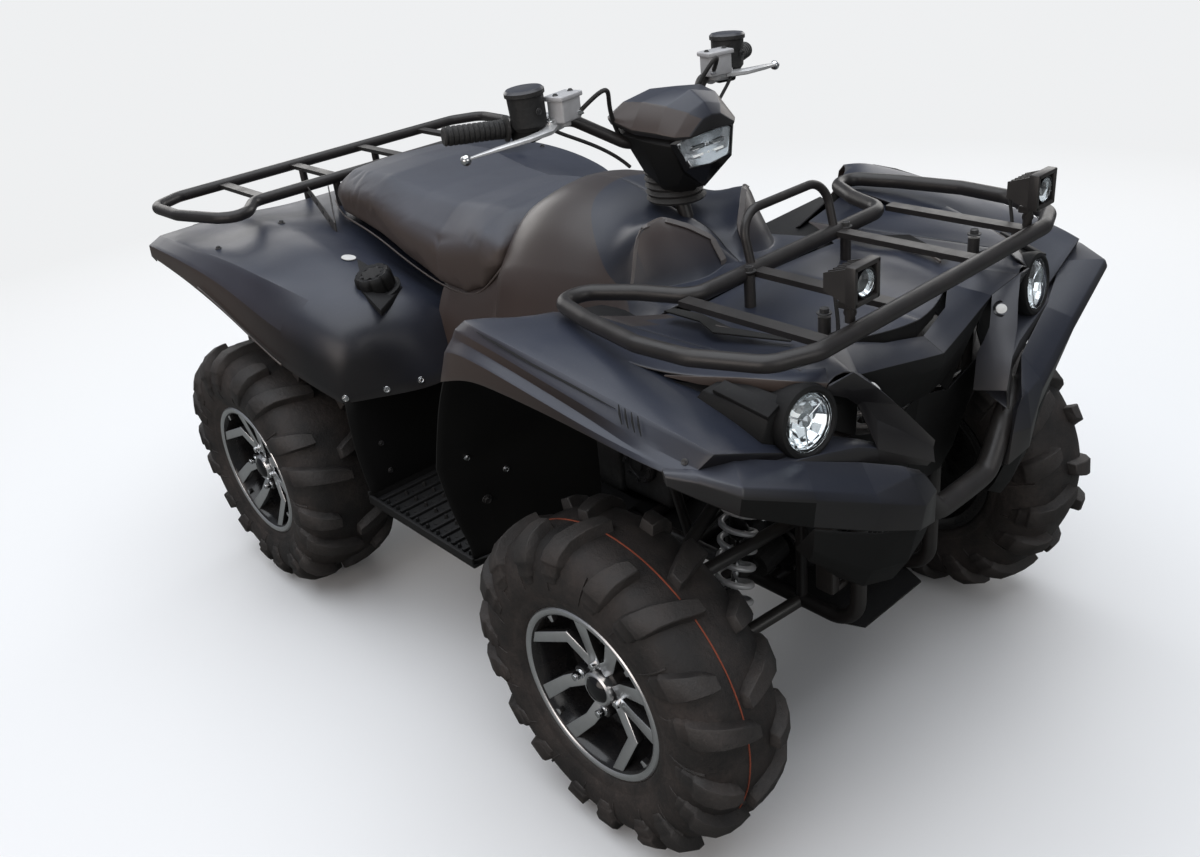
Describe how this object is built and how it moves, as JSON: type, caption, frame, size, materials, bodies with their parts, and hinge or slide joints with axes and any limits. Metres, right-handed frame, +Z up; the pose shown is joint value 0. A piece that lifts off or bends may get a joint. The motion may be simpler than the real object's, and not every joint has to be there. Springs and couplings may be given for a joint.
{
  "type": "quad bike",
  "caption": "Four-wheeled utility quad bike with front and rear tube racks, mud tyres, sit-astride seat and handlebar steering.",
  "frame": {"origin": "on the ground, at the middle of the vehicle's box", "axes": "+X to the vehicle's left, +Y to the rear, +Z up; it faces -Y"},
  "size_m": [1.2276, 2.079, 1.2502],
  "materials": {
    "body_plastic": "satin dark graphite",
    "black_plastic": "unpainted, fine grain",
    "black_metal": "satin powder coat",
    "seat_cover": "matte grained vinyl",
    "cast_metal": "cast, dull",
    "lamp_glass": "clear lens",
    "lamp_body": "satin",
    "tail_lens": "red lens",
    "spring_metal": "gloss",
    "grip_rubber": "ribbed",
    "polished_metal": "polished",
    "tyre_rubber": "mud tread",
    "wheel_metal": "machined on black"
  },
  "bodies": {
    "chassis": {"front_fenders": "body_plastic", "nose_panel": "body_plastic", "tank_cowl": "body_plastic", "side_covers": "body_plastic", "rear_fender": "body_plastic", "bumper_covers": "body_plastic", "mud_panels": "black_plastic", "rear_guards": "black_plastic", "footboards": "black_plastic", "fuel_cap": "black_plastic", "skid_plate": "black_plastic", "seat": "seat_cover", "frame": "black_metal", "front_rack": "black_metal", "rear_rack": "black_metal", "bumper_bar": "black_metal", "engine_block": "cast_metal", "gear_cases": "cast_metal", "muffler": "black_metal", "radiator": "black_metal", "headlamps": "lamp_glass", "work_lamps": "lamp_body", "tail_lamps": "tail_lens", "suspension_arms": "black_metal", "shocks": "spring_metal", "half_shafts": "black_metal", "rear_knuckles": "cast_metal"},
    "steering": {"steering_shaft": "black_metal", "handlebar": "black_metal", "grips": "grip_rubber", "switch_housings": "black_plastic", "brake_levers": "polished_metal", "pod": "body_plastic", "pod_lens": "lamp_glass"},
    "knuckle_left": {"knuckle_left": "cast_metal"},
    "tie_rod_left": {"tie_rod_left": "black_metal"},
    "knuckle_right": {"knuckle_right": "cast_metal"},
    "tie_rod_right": {"tie_rod_right": "black_metal"},
    "wheel_front_left": {"tyre_front_left": "tyre_rubber", "rim_front_left": "wheel_metal"},
    "wheel_front_right": {"tyre_front_right": "tyre_rubber", "rim_front_right": "wheel_metal"},
    "wheel_rear_left": {"tyre_rear_left": "tyre_rubber", "rim_rear_left": "wheel_metal"},
    "wheel_rear_right": {"tyre_rear_right": "tyre_rubber", "rim_rear_right": "wheel_metal"}
  },
  "joints": [
    {"name": "handlebar_steer", "type": "hinge", "parent": "chassis", "child": "steering", "pos_m": [0, -0.32496, 1.11952], "axis": [0, 0.309, 0.9511], "range_deg": [-30, 30]},
    {"name": "knuckle_left_steer", "type": "hinge", "parent": "chassis", "child": "knuckle_left", "pos_m": [0.43, -0.64, 0.325], "axis": [0, 0, 1], "range_deg": [-30, 30]},
    {"name": "tie_rod_left_pivot", "type": "hinge", "parent": "steering", "child": "tie_rod_left", "pos_m": [0, -0.48243, 0.40837], "axis": [0, 0.309, 0.9511], "range_deg": [-30, 30]},
    {"name": "knuckle_right_steer", "type": "hinge", "parent": "chassis", "child": "knuckle_right", "pos_m": [-0.43, -0.64, 0.325], "axis": [0, 0, 1], "range_deg": [-30, 30]},
    {"name": "tie_rod_right_pivot", "type": "hinge", "parent": "steering", "child": "tie_rod_right", "pos_m": [0, -0.48243, 0.40837], "axis": [0, 0.309, 0.9511], "range_deg": [-30, 30]},
    {"name": "wheel_front_left_spin", "type": "hinge", "parent": "knuckle_left", "child": "wheel_front_left", "pos_m": [0.506, -0.64, 0.325], "axis": [1, 0, 0], "continuous": true},
    {"name": "wheel_front_right_spin", "type": "hinge", "parent": "knuckle_right", "child": "wheel_front_right", "pos_m": [-0.506, -0.64, 0.325], "axis": [1, 0, 0], "continuous": true},
    {"name": "wheel_rear_left_spin", "type": "hinge", "parent": "chassis", "child": "wheel_rear_left", "pos_m": [0.492, 0.613, 0.325], "axis": [1, 0, 0], "continuous": true},
    {"name": "wheel_rear_right_spin", "type": "hinge", "parent": "chassis", "child": "wheel_rear_right", "pos_m": [-0.492, 0.613, 0.325], "axis": [1, 0, 0], "continuous": true}
  ],
  "couplings": [
    {"joint": "knuckle_left_steer", "follows": "handlebar_steer", "ratio": 1},
    {"joint": "tie_rod_left_pivot", "follows": "handlebar_steer", "ratio": -1},
    {"joint": "knuckle_right_steer", "follows": "handlebar_steer", "ratio": 1},
    {"joint": "tie_rod_right_pivot", "follows": "handlebar_steer", "ratio": -1}
  ]
}
